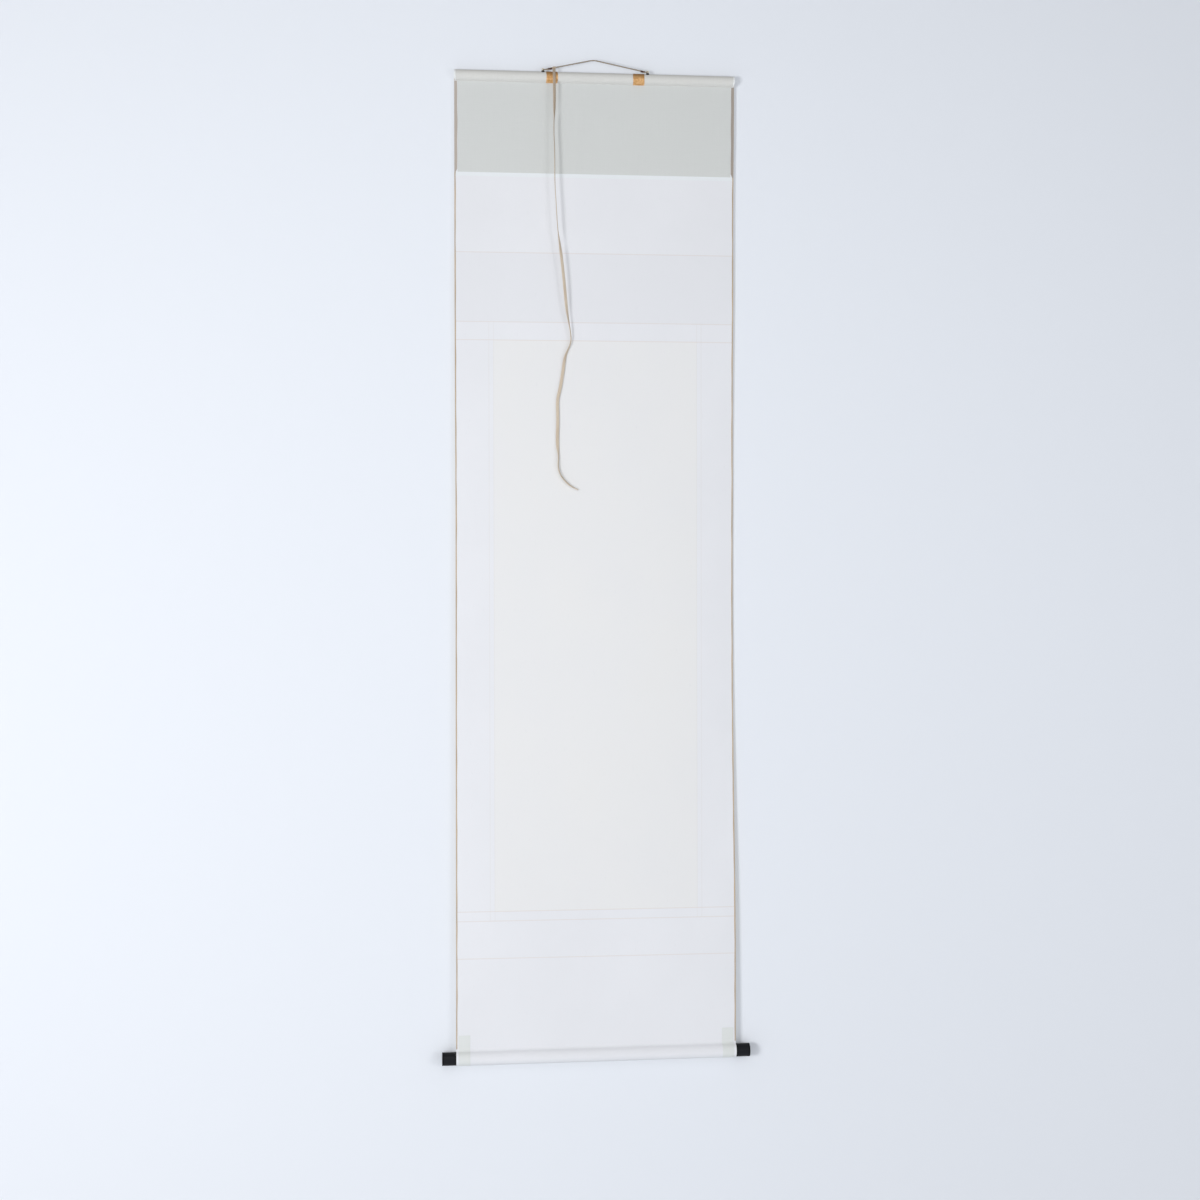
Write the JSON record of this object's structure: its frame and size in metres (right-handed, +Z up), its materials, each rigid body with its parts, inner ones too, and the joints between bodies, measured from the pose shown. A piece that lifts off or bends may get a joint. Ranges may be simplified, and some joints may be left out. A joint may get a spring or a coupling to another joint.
{
  "type": "hanging scroll",
  "caption": "Hanging scroll seen from its paper back: lined silk mount between a half-round stave and a round roller with black knobs, with its hanging and winding cords.",
  "frame": {"origin": "where the hanging cord bears on its hook, on the underside of the cord at its highest point", "axes": "+Z up, the paper back of the scroll faces -Y, its mounted front faces +Y, X runs along the stave and the roller"},
  "size_m": [0.6002, 0.0315, 1.9407],
  "materials": {
    "backing_paper": "unsized white mulberry paper, matt",
    "ground_silk": "plain off-white silk, fine weave",
    "border_silk": "plain pale sand silk twill",
    "band_silk": "plain dull gold silk",
    "painting_paper": "blank cream paper",
    "cover_silk": "plain pale grey-green silk",
    "hem_silk": "tan folded silk edge",
    "stave_wood": "bare cedar",
    "cap_paper": "white paper",
    "gold_paper": "mottled gold-tan paper",
    "eyelet_brass": "worn brass",
    "washer_iron": "blackened iron",
    "black_lacquer": "black lacquer, satin gloss",
    "strip_silk": "thin pale green silk",
    "hanging_cord": "taupe braided cord",
    "whipping_thread": "dark brown thread",
    "winding_braid": "flat tan braid"
  },
  "bodies": {
    "root": {"backing_paper": "backing_paper", "upper_field": "ground_silk", "upper_border": "border_silk", "left_column": "border_silk", "right_column": "border_silk", "upper_band": "band_silk", "painting_panel": "painting_paper", "lower_band": "band_silk", "lower_border": "border_silk", "lower_field": "ground_silk", "cover_silk": "cover_silk", "left_hem": "hem_silk", "right_hem": "hem_silk", "top_stave": "stave_wood", "stave_wrap": "ground_silk", "left_stave_cap": "cap_paper", "right_stave_cap": "cap_paper", "left_patch": "gold_paper", "right_patch": "gold_paper", "left_eyelet": "eyelet_brass", "right_eyelet": "eyelet_brass", "left_washer": "washer_iron", "right_washer": "washer_iron", "roller_rod": "stave_wood", "roller_wrap": "backing_paper", "left_knob": "black_lacquer", "right_knob": "black_lacquer", "left_corner_strip": "strip_silk", "right_corner_strip": "strip_silk", "hanging_cord": "hanging_cord", "left_whipping": "whipping_thread", "right_whipping": "whipping_thread", "winding_cord": "winding_braid", "winding_cord_loop": "winding_braid"}
  },
  "joints": []
}
